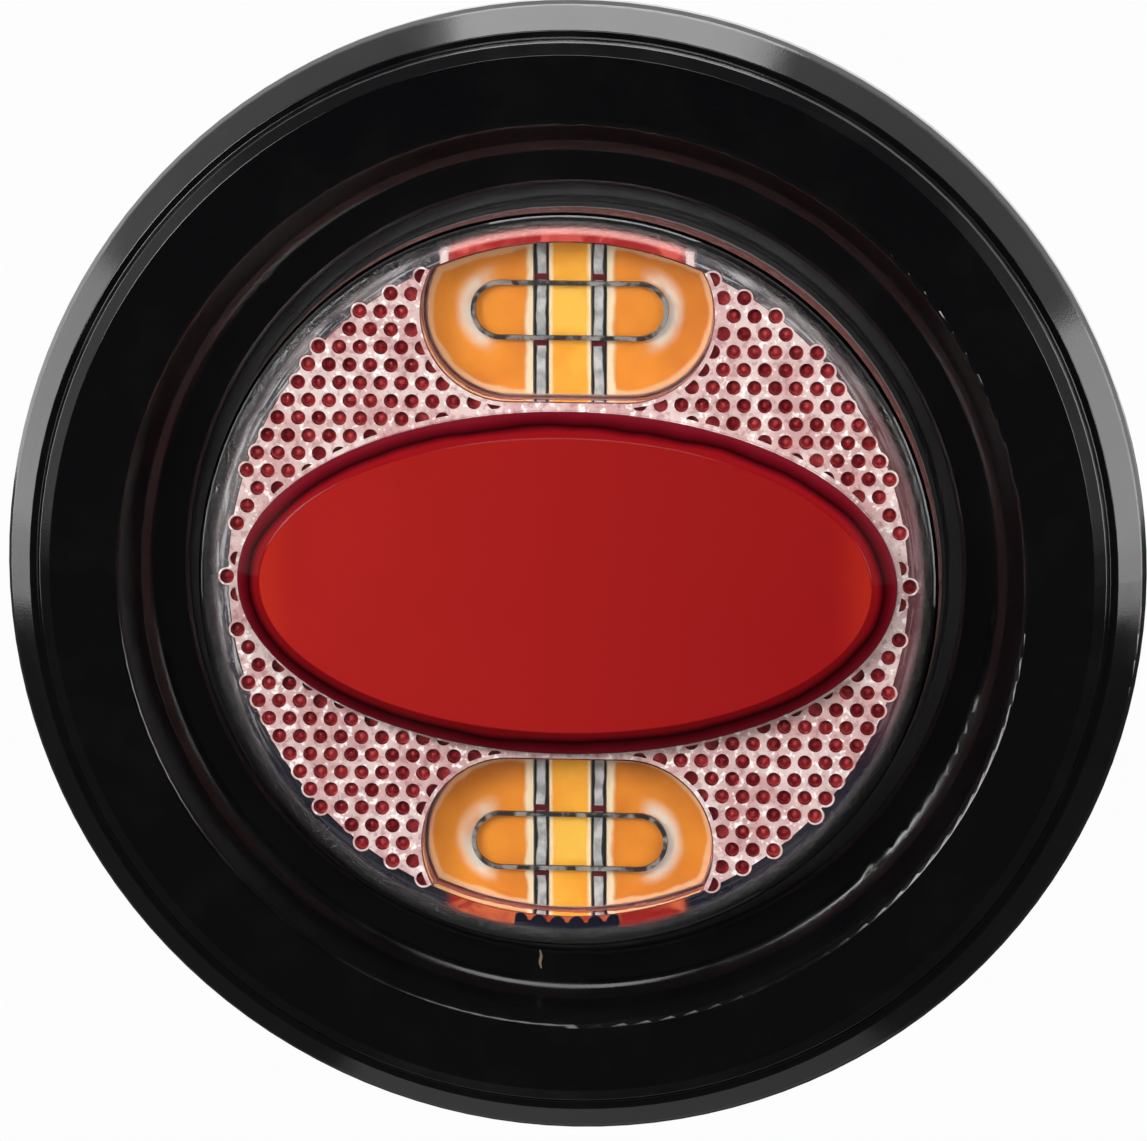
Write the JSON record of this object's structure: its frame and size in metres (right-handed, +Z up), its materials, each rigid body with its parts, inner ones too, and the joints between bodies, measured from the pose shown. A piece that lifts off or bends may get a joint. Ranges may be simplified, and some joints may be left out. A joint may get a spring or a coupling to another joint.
{
  "type": "trailer light",
  "caption": "Small round sealed trailer light with a raised red oval, amber pill windows and a honeycomb reflex field, in an open-back rubber grommet.",
  "frame": {"origin": "centre of the panel hole, in the plane of the panel's outer face, which is the back of the grommet's flange", "axes": "-Y out of the lamp's face towards the viewer, +Y into the panel along the lamp's axis, +X to the right and +Z up as seen from the front"},
  "size_m": [0.0854, 0.0294, 0.0854],
  "materials": {
    "black_rubber": "smooth moulded, slightly shiny",
    "black_plastic": "fine satin",
    "clear_lens": "polished clear polycarbonate",
    "red_lens": "polished translucent red",
    "white_diffuser": "translucent milky sheet",
    "clear_lattice": "moulded clear honeycomb",
    "red_reflex": "moulded red",
    "smoke_trim": "dark smoke",
    "clear_optic": "polished clear",
    "silver_metal": "tinned",
    "yellow_phosphor": "silicone filled with phosphor",
    "amber_phosphor": "silicone filled with phosphor",
    "white_carrier": "white sintered",
    "board_mask": "white solder mask",
    "led_package": "white moulded",
    "led_window": "clear resin over the chip",
    "black_component": "moulded epoxy",
    "capacitor_can": "drawn can",
    "potting_resin": "poured resin",
    "solder": "bright",
    "nickel_brass": "turned brass"
  },
  "bodies": {
    "grommet": {"grommet": "black_rubber"},
    "lamp": {"housing": "black_plastic", "outer_lens": "clear_lens", "red_lens": "red_lens", "centre_diffuser": "white_diffuser", "reflex_lattice": "clear_lattice", "reflex_block": "red_reflex", "trim_ring": "smoke_trim", "circuit_board": "board_mask", "red_leds": "led_package", "red_led_windows": "led_window", "resistors": "black_component", "rectifier_diodes": "black_component", "driver_chip": "black_component", "capacitor": "capacitor_can", "potting_compound": "potting_resin", "solder_joints": "solder", "left_contact_pin": "nickel_brass", "right_contact_pin": "nickel_brass", "upper_optic": "clear_optic", "upper_light_ring": "silver_metal", "upper_centre_phosphor": "yellow_phosphor", "upper_side_phosphors": "amber_phosphor", "upper_conductors": "silver_metal", "upper_led_carrier": "white_carrier", "lower_optic": "clear_optic", "lower_light_ring": "silver_metal", "lower_centre_phosphor": "yellow_phosphor", "lower_side_phosphors": "amber_phosphor", "lower_conductors": "silver_metal", "lower_led_carrier": "white_carrier"}
  },
  "joints": [
    {"name": "lamp_turn", "type": "hinge", "parent": "grommet", "child": "lamp", "pos_m": [0, 0, 0], "axis": [0, 1, 0], "continuous": true}
  ]
}
